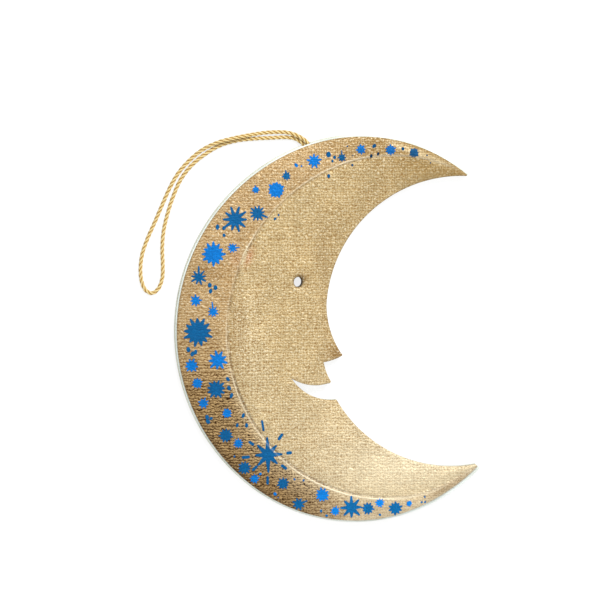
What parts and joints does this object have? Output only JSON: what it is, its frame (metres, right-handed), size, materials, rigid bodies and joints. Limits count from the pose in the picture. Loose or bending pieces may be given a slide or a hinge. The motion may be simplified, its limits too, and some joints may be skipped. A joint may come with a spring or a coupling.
{
  "type": "moon board ornament",
  "caption": "Crescent moon of layered board with a face profile cut in its inner curve, gold woven cloth front, blue foil stars and a twisted cord hanging loop.",
  "frame": {"origin": "under the middle of the crescent, on the surface that its back lies on", "axes": "+Y towards the upper horn, +X towards the horns' open side, +Z out of the gold front"},
  "size_m": [0.1437, 0.1637, 0.0064],
  "materials": {
    "cloth": "coarse linen weave with a thin gold metallic coat, semi-matte",
    "card": "uncoated pressed card",
    "board": "pale matte paperboard, cut edge",
    "lining": "matte paper",
    "cord": "two-strand twisted viscose cord with a soft sheen",
    "glue": "set paste, semi-matte",
    "bright_foil": "bright blue pressed metallic foil, satin",
    "dark_foil": "deep blue pressed metallic foil, satin"
  },
  "bodies": {
    "root": {"front_cloth": "cloth", "relief_card": "card", "front_board": "board", "back_board": "board", "back_lining": "lining", "hanging_cord": "cord", "cord_tail_upper": "cord", "cord_tail_lower": "cord", "cord_glue": "glue", "foil_burst": "dark_foil", "foil_ray_1": "dark_foil", "foil_ray_2": "dark_foil", "foil_ray_3": "dark_foil", "foil_ray_4": "dark_foil", "foil_ray_5": "dark_foil", "foil_ray_6": "dark_foil", "foil_ray_7": "dark_foil", "foil_ray_8": "dark_foil", "foil_star_01": "bright_foil", "foil_star_02": "bright_foil", "foil_star_03": "dark_foil", "foil_star_04": "dark_foil", "foil_star_05": "bright_foil", "foil_star_06": "dark_foil", "foil_star_07": "bright_foil", "foil_star_08": "bright_foil", "foil_star_09": "dark_foil", "foil_star_10": "dark_foil", "foil_star_11": "bright_foil", "foil_star_12": "bright_foil", "foil_star_13": "dark_foil", "foil_star_14": "bright_foil", "foil_star_15": "bright_foil", "foil_star_16": "dark_foil", "foil_star_17": "bright_foil", "foil_star_18": "bright_foil", "foil_star_19": "dark_foil", "foil_star_20": "bright_foil", "foil_star_21": "bright_foil", "foil_star_22": "bright_foil", "foil_star_23": "dark_foil", "foil_star_24": "bright_foil", "foil_star_25": "dark_foil", "foil_star_26": "bright_foil", "foil_star_27": "dark_foil", "foil_star_28": "dark_foil", "foil_star_29": "bright_foil", "foil_star_30": "bright_foil", "foil_star_31": "dark_foil", "foil_star_32": "dark_foil", "foil_star_33": "bright_foil", "foil_star_34": "dark_foil", "foil_star_35": "bright_foil"}
  },
  "joints": []
}
